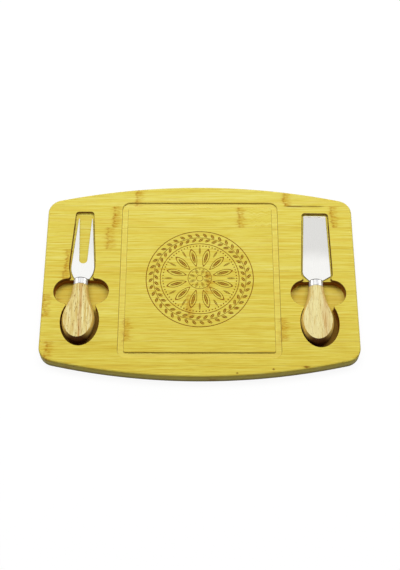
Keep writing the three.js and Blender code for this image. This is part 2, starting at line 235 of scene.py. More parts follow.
# Where the bamboo's knots cross each top strip, along X
TOP_KNOTS = {1: (), 2: (-155,), 3: (-76, 87), 4: (-161, -10), 5: (-142, 10), 6: (-140,)}
TOP_KNOTS |= {7: (-97,), 8: (-91, 45, 145), 9: (-67, 94)}
# The strips below: their tones, their first knots' places and how far on the next ones lie
HIDDEN_TONES = (-0.5, 0.5)
HIDDEN_KNOTS = (-160, -20)
HIDDEN_KNOT_STEPS = (120, 170)
# How long a knot's strokes are, how far it sways, and how far beside it its darkest line lies
KNOT_STROKES = (3.5, 9.5)
KNOT_SWAY = 9
KNOT_CORE = 2.2
KNOT = (190, 138, 20)
KNOT_LINE = (166, 104, 10)
# Small dark specks, along X and Y, and how narrow each is along X
SPECKS = {"top_strip_1": ((38, 75, 108.5), (-108.8, -104.6, -101.8))}
SPECK_NARROWNESS = (0.9, 0.7, 0.25)
SPECK = (124, 72, 10)
# A stretch of zigzag grain, and a joint between two strips that stands open
WAVES = {"top_strip_8": 66}
WAVE_PITCH = 8
WAVE_REACH = 18
WAVE_SLOPE = 0.45
OPEN_JOINT = {"top_strip_8": (90, 138), "top_strip_9": (90, 138)}
OPEN_JOINT_Y = HALF_WIDTH - 24.6
OPEN_JOINT_TAPER = 8
OPEN_JOINT_SHADE = (112, 76, 22)
GLUE = (164, 122, 38)
NOWHERE = 1000
# Cut floors, painted with light and shade: deep floors browner, the groove's paler. Where along Y the
# bowls' floors are painted in shade all over, and where no longer
DEEP_FLOOR_SHADE = (190, 134, 50)
GROOVE_FLOOR_LIGHT = (252, 240, 130)
BOWL_FLOOR_SHADE = (124, 78, 26)
BOWL_SHADE_SPAN = (-42, -28)
# Cut walls and the rounds at their feet, painted dark: partly router scorch, partly painted shade.
# The slots' end walls turn pale low down along this stretch of Y.
LOW_SCORCH_AND_SHADE = (152, 92, 28)
RIM_SCORCH_AND_SHADE = (104, 54, 14)
SLOT_END_PALE = (64, 72)
# Along X the groove lies nearer the middle than this, and the pockets lie beyond
GROOVE_REACH = 90
# Painted shade for the board's sides near the ground
FOOT_SHADE = (76, 55, 21)
BURNT_TONES = [(0.3, (116, 72, 10)), (0.5, (146, 97, 16)), (0.7, (172, 122, 26))]

# Steel. Each blade's colour turns from one to the other along this stretch of Y, a painted reflection
# that is whiter near the ferrule.
FORK_STEEL = ((246, 246, 243), (238, 238, 234))
KNIFE_STEEL = ((245, 244, 241), (222, 221, 218))
BLADE_REFLECTION_TURN = (24, 46)
# Painted shade for the steel's upright edges and beside the ferrule's ends
STEEL_PAINTED_SHADE = (66, 60, 52)
BEVEL_PAINTED_REFLECTION = (252, 248, 230)
FERRULE_REFLECTION_BANDS = ((244, 244, 243), (212, 212, 214))

# The handles' wood
FORK_WOOD = {"seed": 3, "tint": (226, 204, 126), "pores": 0.9, "heart": (0.6 - POCKET_X, 2.1, 0.7)}
KNIFE_WOOD = {"seed": 41, "tint": (234, 218, 152), "pores": 0.5, "heart": (6 + POCKET_X, 4, 0.45)}
WOOD_DARK = (198, 158, 78)
WOOD_PALE = (242, 231, 170)
WOOD_THREAD = (196, 150, 80)
WOOD_HEART = (186, 118, 54)
WOOD_PORE = (140, 96, 40)
# Painted shade and bounce light for the turned sides. The next colour serves the low sides as painted
# shade and the end as end grain and painted shade
TURNED_SIDE_SHADE = (226, 184, 84)
END_GRAIN_AND_SHADE = (66, 26, 3)
WOOD_GLOSS = 0.08
# Along Y, where the handles' low sides are shaded most, and where least
HANDLE_SHADE = (-62, -42)

# Fineness
BOW_STEPS = 96
CORNER_STEPS = 16
LOBE_STEPS = 56
ROUND_STEPS = 5
EASE_STEPS = 3
LATHE_STEPS = 128
PROFILE_STEPS = 40
RING_STEPS = 240
BEAD_STEPS = 12
SMOOTH_ANGLE = math.radians(28)
# How far a cutter reaches past what it cuts, and a length too small to matter
OVERRUN = 1
HAIR = 0.01


# Outlines


def arc(x, y, radius_x, radius_y, start, end, steps):
    angles = np.linspace(start, end, steps + 1)
    return np.column_stack((x + radius_x * np.cos(angles), y + radius_y * np.sin(angles)))


def tidy(points):
    """The closed outline without points that repeat the one before them."""
    points = np.asarray(points, float)
    far = np.linalg.norm(points - np.roll(points, 1, axis=0), axis=1) > 1e-4
    return points[far]


def mirrored(points):
    return (np.asarray(points) * (-1, 1))[::-1]


def unit(vector):
    return vector / np.linalg.norm(vector)


def rounded(corners):
    """A polygon whose corners (x, y, radius) are rounded, running anticlockwise."""
    outline = []
    for i, (x, y, radius) in enumerate(corners):
        here = np.array((x, y))
        if not radius:
            outline.append(here[None])
            continue
        back = unit(np.array(corners[i - 1][:2]) - here)
        ahead = unit(np.array(corners[(i + 1) % len(corners)][:2]) - here)
        half_angle = math.acos(back @ ahead) / 2
        centre = here + unit(back + ahead) * radius / math.sin(half_angle)
        reach = radius / math.tan(half_angle)
        start = here + back * reach - centre
        end = here + ahead * reach - centre
        first = math.atan2(start[1], start[0])
        turn = math.atan2(start[0] * end[1] - start[1] * end[0], start @ end)
        outline.append(arc(*centre, radius, radius, first, first + turn, CORNER_STEPS))
    return tidy(np.vstack(outline))


def symmetric(right):
    """The rounded outline of a right half, from the bottom up, and its mirror image."""
    return rounded(right + [(-x, y, radius) for x, y, radius in reversed(right)])


def offset(points, distance):
    """The outline moved outwards, or inwards where the distance is negative."""
    before = points - np.roll(points, 1, axis=0)
    before /= np.linalg.norm(before, axis=1)[:, None]
    after = np.roll(before, -1, axis=0)
    mitre = np.column_stack((before[:, 1] + after[:, 1], -before[:, 0] - after[:, 0]))
    mitre /= np.linalg.norm(mitre, axis=1)[:, None]
    lean = mitre[:, 0] * after[:, 1] - mitre[:, 1] * after[:, 0]
    return points + mitre * (distance / lean)[:, None]


def turned(points, degrees, centre=(0, 0)):
    angle = math.radians(degrees)
    spin = np.array(((math.cos(angle), math.sin(angle)), (-math.sin(angle), math.cos(angle))))
    return (np.asarray(points) - centre) @ spin + centre


# Meshes


def new_object(name, vertices, faces):
    mesh = bpy.data.meshes.new(name)
    mesh.from_pydata([tuple(map(float, v)) for v in vertices], [], faces)
    mesh.update()
    piece = bpy.data.objects.new(name, mesh)
    bpy.context.scene.collection.objects.link(piece)
    return piece


def lofted(name, rings):
    """A closed solid through rings of equally many points, flat at both ends."""
    count = len(rings[0])
    faces = []
    for level in range(len(rings) - 1):
        for i in range(count):
            a = level * count + i
            b = level * count + (i + 1) % count
            faces.append((a, b, b + count, a + count))
    top = (len(rings) - 1) * count
    faces.append(tuple(range(count - 1, -1, -1)))
    faces.append(tuple(range(top, top + count)))
    return new_object(name, np.vstack(rings), faces)


def stacked(name, outline, levels):
    """A solid that follows one outline up through levels of (z, growth)."""
    rings = []
    for z, growth in levels:
        ring = offset(outline, growth)
        rings.append(np.column_stack((ring, np.full(len(ring), z))))
    return lofted(name, rings)


def box(name, low, high):
    corners = [(low[0], low[1]), (high[0], low[1]), (high[0], high[1]), (low[0], high[1])]
    rings = [[(x, y, z) for x, y in corners] for z in (low[2], high[2])]
    return lofted(name, rings)


def revolved(name, profile):
    """A body of revolution about Y. The profile of (radius, y) is closed, or runs from axis to axis.

    It runs anticlockwise, with the radius to the right and y upwards.
    """
    angles = np.arange(LATHE_STEPS) / LATHE_STEPS * TAU
    vertices, rings = [], []
    for radius, y in profile:
        around = [(radius * math.cos(a), y, -radius * math.sin(a)) for a in angles]
        ring = around if radius > 0 else around[:1]
        rings.append(range(len(vertices), len(vertices) + len(ring)))
        vertices.extend(ring)
    faces = []
    closed = profile[0][0] > 0
    for k in range(len(profile) if closed else len(profile) - 1):
        below, above = rings[k], rings[(k + 1) % len(profile)]
        for i in range(LATHE_STEPS):
            j = (i + 1) % LATHE_STEPS
            if len(below) == 1:
                faces.append((below[0], above[j], above[i]))
            elif len(above) == 1:
                faces.append((below[i], below[j], above[0]))
            else:
                faces.append((below[i], below[j], above[j], above[i]))
    return new_object(name, vertices, faces)


def combined(target, operand, operation):
    """The target after a boolean with the operand, which is used up."""
    modifier = target.modifiers.new("boolean", "BOOLEAN")
    modifier.operation = operation
    modifier.solver = "MANIFOLD"
    modifier.object = operand
    graph = bpy.context.evaluated_depsgraph_get()
    mesh = bpy.data.meshes.new_from_object(target.evaluated_get(graph))
    target.modifiers.clear()
    target.data = mesh
    bpy.data.objects.remove(operand)
    return target


def copied(source, name):
    piece = source.copy()
    piece.data = source.data.copy()
    piece.name = name
    bpy.context.scene.collection.objects.link(piece)
    return piece


def painted(piece, *materials):
    piece.data.materials.clear()
    for material in materials:
        piece.data.materials.append(material)


def finished(piece, body, node):
    """Turns a finished mesh to metres, smooths it and hands it to the frame."""
    mesh = piece.data
    mesh.transform(piece.matrix_basis)
    piece.matrix_basis.identity()
    mesh.transform(Matrix.Scale(MM, 4))
    mesh.shade_smooth()
    mesh.set_sharp_from_angle(angle=SMOOTH_ANGLE)
    weighted = piece.modifiers.new("weighted_normals", "WEIGHTED_NORMAL")
    weighted.keep_sharp = True
    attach(piece, body)
    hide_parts(node)


# Board blank and its cuts


def round_levels(flat_z, radius, side):
    """Levels of a rounded edge, from a flat face to the upright side."""
    angles = np.linspace(0, TAU / 4, ROUND_STEPS + 1)
    heights = flat_z + side * radius * (1 - np.cos(angles))
    return list(zip(heights, -radius * (1 - np.sin(angles))))


def routed(name, outline, depth, floor_round, sign=1):
    """A routed cut of one depth, or with sign -1 what the router leaves standing in the cut."""
    floor_z = TOP - depth
    levels = round_levels(floor_z, floor_round, 1)
    levels += [(TOP - RIM_EASE, 0), (TOP, RIM_EASE), (TOP + OVERRUN, RIM_EASE)]
    if sign < 0:
        levels.insert(0, (floor_z - OVERRUN, levels[0][1]))
    return stacked(name, outline, [(z, sign * growth) for z, growth in levels])


def edge_circle():
    """The radius of each long edge and how far its centre lies from the board's middle."""
    radius = (HALF_LENGTH**2 + LONG_EDGE_BOW**2) / (2 * LONG_EDGE_BOW)
    return radius, radius - HALF_WIDTH


def board_outline():
    radius, beyond = edge_circle()
    corner_x = HALF_LENGTH - CORNER_RADIUS
    corner_y = math.sqrt((radius - CORNER_RADIUS) ** 2 - corner_x**2) - beyond
    angle = math.atan2(corner_y + beyond, corner_x)
    corner = arc(corner_x, corner_y, CORNER_RADIUS, CORNER_RADIUS, 0, angle, CORNER_STEPS)
    edge = arc(0, -beyond, radius, radius, angle, TAU / 2 - angle, BOW_STEPS)
    far_half = np.vstack((corner, edge, mirrored(corner)))
    return tidy(np.vstack((far_half, -far_half)))


def groove_cutter():
    half_x = HALF_LENGTH - GROOVE_END_MARGIN
    half_y = HALF_WIDTH - GROOVE_LONG_MARGIN

    def rectangle(inset, radius):
        x, y = half_x - inset, half_y - inset
        return rounded([(x, y, radius), (-x, y, radius), (-x, -y, radius), (x, -y, radius)])

    outer = rectangle(0, GROOVE_INNER_CORNER + GROOVE_WIDTH)
    inner = rectangle(GROOVE_WIDTH, GROOVE_INNER_CORNER)
    channel = routed("groove", outer, GROOVE_DEPTH, FLOOR_ROUND)
    island = routed("island", inner, GROOVE_DEPTH, FLOOR_ROUND, -1)
    return combined(channel, island, "DIFFERENCE")


def slot_cutter(place):
    """The shallow slot for the blade. It opens into the finger slot through a rounded mouth."""
    half_width, tip_half_width, shoulder = place["slot_widths"]
    finger_y = FERRULE_Y - FINGER_BACK
    wide = half_width + SLOT_SIDE_CLEARANCE
    narrow = tip_half_width + SLOT_TIP_CLEARANCE
    waist = wide - SLOT_WAIST_INSET
    shoulder_y = FERRULE_Y + shoulder
    end_y = FERRULE_Y + max(FORK_LENGTH, CHISEL_LENGTH) + SLOT_END_CLEARANCE

    # The mouth's round touches the slot's side and the finger slot's edge.
    mouth_x = waist + SLOT_MOUTH
    near_x = min(mouth_x, FINGER_SPREAD)
    mouth_y = finger_y + math.sqrt((FINGER_RADIUS + SLOT_MOUTH) ** 2 - (mouth_x - near_x) ** 2)
    touch = math.atan2(finger_y - mouth_y, near_x - mouth_x)
    mouth = arc(mouth_x, mouth_y, SLOT_MOUTH, SLOT_MOUTH, touch, -math.pi, CORNER_STEPS)

    right = [(mouth[0][0], finger_y, 0)]
    right += [(x, y, 0) for x, y in mouth]
    right += [
        (wide, shoulder_y, SLOT_SHOULDER),
        (wide, shoulder_y + SLOT_SHOULDER, SLOT_KNEE),
        (narrow, end_y, SLOT_CORNER),
    ]
    outline = turned(symmetric(right), place["slot_turn"], (0, FERRULE_Y))
    return routed("slot", outline + (place["slot_x"], 0), SLOT_DEPTH, SLOT_FLOOR_ROUND)


def deep_cutter():
    """The handle's oval bowl, with a slot across its neck for a finger and a thumb."""
    bowl_x = BULB_RADIUS + HANDLE_CLEARANCE
    bowl_y = BULB_END + HANDLE_CLEARANCE
    finger_y = FERRULE_Y - FINGER_BACK
    bowl_angle = math.acos(NECK_SHARE)
    lobe_angle = -math.acos((NECK_SHARE * bowl_x - FINGER_SPREAD) / FINGER_RADIUS)
    bowl = arc(0, FERRULE_Y + BULB_Y, bowl_x, bowl_y, -TAU / 4, bowl_angle, LOBE_STEPS)
    radius = FINGER_RADIUS
    lobe = arc(FINGER_SPREAD, finger_y, radius, radius, lobe_angle, TAU / 4, LOBE_STEPS)
    right = [(x, y, 0) for x, y in np.vstack((bowl, lobe))]
    for i in (len(bowl) - 1, len(bowl)):
        right[i] = (*right[i][:2], NECK_CORNER)
    # The bowl's and the lobe's own points nearest the two corners give way to their rounds.
    right = [p for i, p in enumerate(right) if p[2] or clear_of_corners(p, right, i)]
    return routed("deep", symmetric(right), POCKET_DEPTH, POCKET_FLOOR_ROUND)


def clear_of_corners(here, points, index):
    corners = [p for i, p in enumerate(points) if p[2] and i != index]
    return all(math.dist(here[:2], corner[:2]) > 2 * NECK_CORNER for corner in corners)


def pocket_cutter(place):
    cutter = combined(deep_cutter(), slot_cutter(place), "UNION")
    cutter.location = (place["side"] * POCKET_X, place["pocket_y"], 0)
    bpy.context.view_layer.update()
    return cutter


# The engraved medallion in the middle: a wreath, a ring of beads and a rosette


def circle(radius, steps):
    return arc(0, 0, radius, radius, 0, TAU, steps)[:-1]


def band(radius, width):
    """A ring of one width, as an outer and an inner outline."""
    return circle(radius + width / 2, RING_STEPS), circle(radius - width / 2, RING_STEPS)


def half_leaves(length, width):
    """The two halves of a pointed leaf along +X, on either side of a vein left standing."""
    along = np.linspace(0.03, 0.97, 13)
    edge = VEIN / 2 + width / 2 * np.sin(along * math.pi) ** 0.8
    lower = np.column_stack((along * length, np.full(len(along), VEIN / 2)))
    upper = np.column_stack((along * length, edge))[::-1]
    half = np.vstack((lower, upper))
    return [half, (half * (1, -1))[::-1]]


def petal(start, end, half_width):
    """A pointed petal along +X, as an outer and an inner outline."""
    along = np.linspace(0, 1, 21)
    swell = half_width * np.sin(along * math.pi) ** 0.75 * (0.75 + 0.5 * along)
    side = np.column_stack((start + along * (end - start), swell))
    outline = tidy(np.vstack((side * (1, -1), side[::-1])))
    centre = np.array(((start + end) / 2, 0))
    return outline, centre + (outline - centre) * PETAL_INSET


def placed(outline, angle, shift=(0, 0), lean=0.0):
    """An outline leaned, moved along the spoke and turned with it round the middle."""
    return turned(turned(outline, math.degrees(lean)) + shift, math.degrees(angle))


def medallion_shapes():
    """Every engraved shape as its outer outline and, where it is open inside, its inner one."""
    shapes = [band(radius, width) for radius, width in MEDALLION_RINGS]
    for k in range(WREATH_LEAVES):
        angle = k / WREATH_LEAVES * TAU
        half_step = TAU / WREATH_LEAVES / 2
        for half in half_leaves(LEAF_LENGTH, LEAF_WIDTH):
            for turn, side in ((0, 1), (half_step, -1)):
                shift = (WREATH_RADIUS + side * LEAF_GAP, 0)
                lean = TAU / 4 - side * LEAF_LEAN
                shapes.append((placed(half, angle + turn, shift, lean), None))
    bead = circle(BEAD_RADIUS, BEAD_STEPS)
    for k in range(BEADS):
        shapes.append((placed(bead, k / BEADS * TAU, (BEAD_RING_RADIUS, 0)), None))
    for petals, start, end, half_width in ROSETTE:
        for k in range(petals):
            angle = (k + 0.5) / petals * TAU
            outer, inner = petal(start, end, half_width)
            shapes.append((placed(outer, angle), placed(inner, angle)))
            for side, (place, length, width) in enumerate(PETAL_LEAVES):
                shift = (start + (end - start) * place, 0)
                for half in half_leaves((end - start) * length, half_width * width):
                    shapes.append((placed(half, angle + side * TAU / petals / 2, shift), None))
    return shapes


def medallion_cutter():
    vertices, faces = [], []
    low, high = TOP - ENGRAVING_DEPTH, TOP + OVERRUN
    for outer, inner in medallion_shapes():
        start, count = len(vertices), len(outer)
        rings = [(outer, low), (outer, high)]
        if inner is not None:
            rings += [(inner, high), (inner, low)]
        for outline, z in rings:
            vertices.extend((x + MEDALLION[0], y + MEDALLION[1], z) for x, y in outline)
        if inner is None:
            faces.append(tuple(range(start + count - 1, start - 1, -1)))
            faces.append(tuple(range(start + count, start + 2 * count)))
        for ring in range(1 if inner is None else len(rings)):
            a = start + ring * count
            b = start + (ring + 1) % len(rings) * count
            for i in range(count):
                j = (i + 1) % count
                faces.append((a + i, a + j, b + j, b + i))
    return new_object("engraving", vertices, faces)


# The board, sawn back into the strips that it was glued up from


def saw(node):
    """A box round one strip. It reaches past the board's own sides and into the pockets."""
    low, high = (np.round(np.array(corner) / MM, 3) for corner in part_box(node))
    low[0] -= OVERRUN
    high[0] += OVERRUN
    low[1] -= OVERRUN * (low[1] < HAIR - HALF_WIDTH)
    high[1] += OVERRUN * (high[1] > HALF_WIDTH - HAIR)
    low[2] -= OVERRUN * (low[2] < HAIR)
    high[2] += OVERRUN * (high[2] > TOP - HAIR)
    return low, high


def strip_looks(node, rng):
    """The tone, the seed and the places of the bamboo's knots along one strip."""
    ply, _, number, *_ = node.split("_")
    number = int(number)
    if ply == "top":
        tone, knots = TOP_TONES_AND_LIGHT[number], TOP_KNOTS[number]
    else:
        tone = rng.uniform(*HIDDEN_TONES)
        first = rng.uniform(*HIDDEN_KNOTS)
        knots = (first, first + rng.uniform(*HIDDEN_KNOT_STEPS))
    knots = (*knots, *(NOWHERE,) * 3)[:3]
    return tone, STRIP_SEED * number + PLY_SEED * "bct".index(ply[0]), knots


def set_attribute(mesh, name, kind, domain, values):
    attribute = mesh.attributes.new(name, kind, domain)
    key = "vector" if kind == "FLOAT_VECTOR" else "value"
    attribute.data.foreach_set(key, np.asarray(values, np.float32).ravel())


def dress_strip(piece, node, low, high, rng):
    """Gives a strip's mesh what the bamboo's looks are worked out from."""
    mesh = piece.data
    tone, seed, knots = strip_looks(node, rng)
    specks_x, specks_y = SPECKS.get(node, ((NOWHERE,) * 3,) * 2)
    facts = {
        "strip": (tone, seed, WAVES.get(node, NOWHERE)),
        "knots": knots,
        "specks_x": specks_x,
        "specks_y": specks_y,
        "joints": (low[1], high[1], 0),
        "open_joint": (*OPEN_JOINT.get(node, (NOWHERE, NOWHERE)), 0),
    }
    for name, values in facts.items():
        constant = np.tile(values, (len(mesh.vertices), 1))
        set_attribute(mesh, name, "FLOAT_VECTOR", "POINT", constant)

    centres = np.empty(len(mesh.polygons) * 3)
    mesh.polygons.foreach_get("center", centres)
    x, y, z = centres.reshape(-1, 3).T
    radius, beyond = edge_circle()
    inside_x = np.abs(x) < HALF_LENGTH - UNCUT_EDGE
    inside_y = np.abs(y) + beyond < np.sqrt(radius**2 - x**2) - UNCUT_EDGE
    below = z < TOP - HAIR
    routed_face = inside_x & inside_y & below & (z > POCKET_FLOOR - HAIR)
    engraved = np.hypot(x - MEDALLION[0], y - MEDALLION[1]) < MEDALLION_REACH
    engraved &= below & (z > TOP - ENGRAVING_DEPTH - HAIR)
    set_attribute(mesh, "cut", "FLOAT", "FACE", routed_face & ~engraved)
    mesh.polygons.foreach_set("material_index", engraved.astype(np.int32))


def board(bamboo, burnt):
    outline = board_outline()
    levels = round_levels(0, EDGE_ROUND, 1) + round_levels(TOP, EDGE_ROUND, -1)[::-1]
    blank = stacked("blank", outline, levels)
    combined(blank, groove_cutter(), "DIFFERENCE")
    for place in PLACES.values():
        combined(blank, pocket_cutter(place), "DIFFERENCE")
    combined(blank, medallion_cutter(), "DIFFERENCE")
    rng = random.Random(SEED)
    for node in BOARD_NODES:
        low, high = saw(node)
        strip = combined(copied(blank, "bamboo_" + node), box("saw", low, high), "INTERSECT")
        painted(strip, bamboo, burnt)
        dress_strip(strip, node, low, high, rng)
        finished(strip, "board", node)
    bpy.data.objects.remove(blank)


# Tools, each in its own frame until it is placed


def tang():
    half, tip = TANG_WIDTH / 2, TANG_TIP_WIDTH / 2
    right = [(tip, -TANG_LENGTH), (half, -TANG_LENGTH / 2), (half, FIT_GAP + OVERRUN)]
    outline = np.vstack((right, mirrored(right)))
    return stacked("tang", outline, [(-STEEL / 2, 0), (STEEL / 2, 0)])


def steel_plate(name, outline):
    """A plate whose edges are eased, moved to the right of its tang's middle line."""
    half, steps = STEEL / 2, np.linspace(0, TAU / 4, EASE_STEPS + 1)
    rise = STEEL_EASE * (1 - np.cos(steps))
    growth = -STEEL_EASE * (1 - np.sin(steps))
    levels = list(zip(rise - half, growth)) + list(zip(half - rise, growth))[::-1]
    return stacked(name, outline + (BLADE_SHIFT, 0), levels)


def fork_blade():
    """The fork's plate. Each prong's outer edge just touches the arc of its shoulder."""
    spread = FORK_HALF_WIDTH - FORK_BASE
    rise = FORK_SHOULDER - FIT_GAP
    radius = (spread**2 + rise**2) / (2 * spread)
    centre = np.array((FORK_HALF_WIDTH - radius, FORK_SHOULDER))
    tip = np.array((FORK_TIP, FORK_LENGTH)) - centre
    start = math.atan2(-rise, radius - spread)
    end = math.atan2(tip[1], tip[0]) - math.acos(radius / math.hypot(*tip))
    right = [(x, y, 0) for x, y in arc(*centre, radius, radius, start, end, CORNER_STEPS)]
    right += [
        (FORK_TIP, FORK_LENGTH, PRONG_TIP_RADIUS),
        (FORK_TIP - PRONG_TIP, FORK_LENGTH, PRONG_TIP_RADIUS),
        (FORK_GAP, FORK_GAP_START, FORK_GAP),
    ]
    return steel_plate("steel_fork_blade", symmetric(right))


def chisel_blade():
    def shoulder(side, base, length, radius):
        return [
            (side * base, FIT_GAP, 0),
            (side * CHISEL_HALF_WIDTH, length, radius),
            (side * CHISEL_TIP, CHISEL_LENGTH, CHISEL_TIP_RADIUS),
        ]

    right, left = shoulder(1, **CHISEL_RIGHT), shoulder(-1, **CHISEL_LEFT)[::-1]
    plate = steel_plate("steel_knife_blade", rounded(right + left))
    # One wedge takes the upper face down to the cutting edge.
    edge_z = CHISEL_EDGE - STEEL / 2
    slope = (STEEL / 2 - edge_z) / CHISEL_BEVEL
    near_y, far_y = CHISEL_LENGTH - CHISEL_BEVEL - OVERRUN, CHISEL_LENGTH + OVERRUN
    high_z = STEEL / 2 + slope * OVERRUN
    wedge = [(near_y, high_z), (far_y, edge_z - slope * OVERRUN), (far_y, high_z)]
    reach = CHISEL_HALF_WIDTH + BLADE_SHIFT + OVERRUN
    rings = [[(x, y, z) for y, z in wedge] for x in (-reach, reach)]
    return combined(plate, lofted("wedge", rings), "DIFFERENCE")


def tang_bore():
    return math.hypot(TANG_WIDTH / 2, STEEL / 2) + FIT_GAP


def ferrule(name):
    inner, bore = FERRULE_RADIUS - FERRULE_WALL, tang_bore()
    centre = FERRULE_RADIUS - FERRULE_ROUND
    rim = arc(centre, -FERRULE_ROUND, FERRULE_ROUND, FERRULE_ROUND, 0, TAU / 4, ROUND_STEPS)
    corners = [(bore, 0), (bore, -FERRULE_WALL), (inner, -FERRULE_WALL), (inner, -FERRULE_LENGTH)]
    return revolved(name, [*corners, (FERRULE_RADIUS, -FERRULE_LENGTH), *map(tuple, rim)])


def bezier(points, steps):
    t = np.linspace(0, 1, steps + 1)[:, None]
    a, b, c, d = (np.array(p, float) for p in points)
    return a * (1 - t) ** 3 + 3 * b * t * (1 - t) ** 2 + 3 * c * t**2 * (1 - t) + d * t**3


def handle(name):
    """A turned handle with a tenon for the ferrule, a bore for the tang and two flats."""
    shoulder = -FERRULE_LENGTH - FIT_GAP
    tenon_y, bore_end = -FERRULE_WALL - FIT_GAP, -TANG_LENGTH - FIT_GAP
    tenon = FERRULE_RADIUS - FERRULE_WALL - FIT_GAP
    end = arc(0, BULB_Y, BULB_RADIUS, BULB_END, -TAU / 4, 0, PROFILE_STEPS)
    bulge = bezier(
        [
            (BULB_RADIUS, BULB_Y),
            (BULB_RADIUS, BULB_Y + BULB_RUN),
            (NECK_RADIUS, shoulder - NECK_RUN),
            (NECK_RADIUS, shoulder - NECK_ROUND),
        ],
        PROFILE_STEPS,
    )
    centre = NECK_RADIUS - NECK_ROUND
    neck = arc(centre, shoulder - NECK_ROUND, NECK_ROUND, NECK_ROUND, 0, TAU / 4, ROUND_STEPS)
    outside = [(0, HANDLE_END_Y), *map(tuple, np.vstack((end[1:], bulge[1:], neck[1:])))]
    inside = [(tenon, shoulder), (tenon, tenon_y), (tang_bore(), tenon_y), (tang_bore(), bore_end)]
    turning = revolved(name, [*outside, *inside, (0, bore_end)])
    reach = BULB_RADIUS + OVERRUN
    flat = HANDLE_THICKNESS / 2
    slab = box("slab", (-reach, HANDLE_END_Y - OVERRUN, -flat), (reach, OVERRUN, flat))
    return combined(turning, slab, "INTERSECT")


def ferrule_front(place):
    """Where the middle of a ferrule's front lies, on the board."""
    play_x, play_y = place["play_shares"]
    x = place["side"] * POCKET_X + play_x * HANDLE_CLEARANCE
    return x, FERRULE_Y + place["pocket_y"] + play_y * HANDLE_CLEARANCE


def tool(name, plate, steel, bright, wood):
    """Places one tool's blade, ferrule and handle as it lies in its pocket."""
    blade = combined(plate, tang(), "UNION")
    place = PLACES[name]
    x, y = ferrule_front(place)
    lie = Matrix.Translation((x, y, AXIS_Z)) @ Matrix.Rotation(math.radians(place["turn"]), 4, "Z")
    for piece, slot, material, part in (
        (blade, "blade_steel", steel, "blade"),
        (ferrule("ferrule_" + name), "ferrule_steel", bright, "ferrule"),
        (handle("handle_" + name), "handle_wood", wood, "handle"),
    ):
        painted(piece, material)
        piece.data.transform(lie)
        finished(piece, name, f"{name}_{part}")


# Materials


class Graph:
    """A node tree, with short calls for the sums that the looks are worked out by."""

    def __init__(self, tree):
        self.tree = tree
        tree.nodes.clear()

    def add(self, kind, inputs=(), **settings):
        """A node with its settings. Inputs are values, or other nodes' sockets, by name or place."""
        node = self.tree.nodes.new(kind)
        for key, value in settings.items():
            setattr(node, key, value)
        for key, value in dict(inputs).items():
            if isinstance(value, bpy.types.NodeSocket):
                self.tree.links.new(value, node.inputs[key])
            else:
                node.inputs[key].default_value = value
        return node

    def math(self, operation, *values):
        return self.add("ShaderNodeMath", enumerate(values), operation=operation).outputs[0]

    def times(self, product, *values):
        for value in values:
            product = self.math("MULTIPLY", product, value)
        return product

    def apart(self, first, second):
        return self.math("ABSOLUTE", self.math("SUBTRACT", first, second))

    def vector(self, operation, *values):
        return self.add("ShaderNodeVectorMath", enumerate(values), operation=operation).outputs[0]

    def parts(self, vector):
        return self.add("ShaderNodeSeparateXYZ", [(0, vector)]).outputs[:]

    def attribute(self, name, output="Vector"):
        return self.add("ShaderNodeAttribute", attribute_name=name).outputs[output]

    def normal(self):
        return self.parts(self.add("ShaderNodeNewGeometry").outputs["Normal"])

    def noise(self, vector, scale, detail=2.0, roughness=0.5):
        inputs = {"Vector": vector, "Scale": scale, "Detail": detail, "Roughness": roughness}
        return self.add("ShaderNodeTexNoise", inputs).outputs[0]

    def grain(self, place, shift):
        """A call for noise round a shifted place, stretched along the fibres."""

        def noise(stretch, *settings):
            return self.noise(self.vector("MULTIPLY_ADD", place, stretch, shift), *settings)

        return noise

    def fade(self, value, low, high, start=0.0, end=1.0):
        """Runs smoothly from start to end as the value goes from low to high."""
        inputs = {0: value, 1: low, 2: high, 3: start, 4: end}
        kind = "ShaderNodeMapRange"
        return self.add(kind, inputs, interpolation_type="SMOOTHSTEP").outputs[0]

    def ramp(self, value, stops):
        node = self.add("ShaderNodeValToRGB", [(0, value)])
        elements = node.color_ramp.elements
        while len(elements) < len(stops):
            elements.new(0.5)
        for element, (position, colour) in zip(elements, stops):
            element.position = position
            element.color = linear(colour)
        return node.outputs[0]

    def mix(self, share, first, second):
        """Two colours, mixed by the share of the second. Each is a socket or written as 0 to 255."""
        pair = [c if isinstance(c, bpy.types.NodeSocket) else linear(c) for c in (first, second)]
        inputs = zip((0, 6, 7), (share, *pair))
        return self.add("ShaderNodeMix", inputs, data_type="RGBA").outputs[2]

    def bump(self, height, depth):
        """A normal from heights of 0 to 1, which stand for a depth in millimetres."""
        inputs = {"Height": height, "Distance": depth * MM, "Strength": 1.0}
        return self.add("ShaderNodeBump", inputs).outputs[0]


def linear(colour):
    """A colour of 0 to 255 as it is written on a screen, in the linear values that nodes take."""
    shares = [c / 255 for c in colour]
    return (*(s / 12.92 if s <= 0.04045 else ((s + 0.055) / 1.055) ** 2.4 for s in shares), 1.0)


def new_material(name):
    material = bpy.data.materials.new(name)
    material.use_nodes = True
    return material, Graph(material.node_tree)


def millimetres(g):
    place = g.add("ShaderNodeTexCoord").outputs["Object"]
    return g.vector("MULTIPLY", place, (1 / MM,) * 3)


def principled(g, inputs):
    shader = g.add("ShaderNodeBsdfPrincipled", inputs)
    g.add("ShaderNodeOutputMaterial", {"Surface": shader.outputs[0]})


def bamboo_grain(g, place, x, seed, wave):
    """A call for noise along one strip's fibres, which zigzag near the wave's place along X."""
    uneven = g.math("MULTIPLY_ADD", g.noise(place, 0.12, 2), WAVE_PITCH, x)
    bend = g.math("SUBTRACT", g.math("PINGPONG", uneven, WAVE_PITCH / 2), WAVE_PITCH / 4)
    bend = g.times(bend, g.fade(g.apart(x, wave), WAVE_REACH / 2, WAVE_REACH, 1.0, 0.0))
    bent_y = g.math("MULTIPLY_ADD", bend, WAVE_SLOPE, seed)
    shift = g.add("ShaderNodeCombineXYZ", [(0, seed), (1, bent_y), (2, seed)]).outputs[0]
    return g.grain(place, shift)


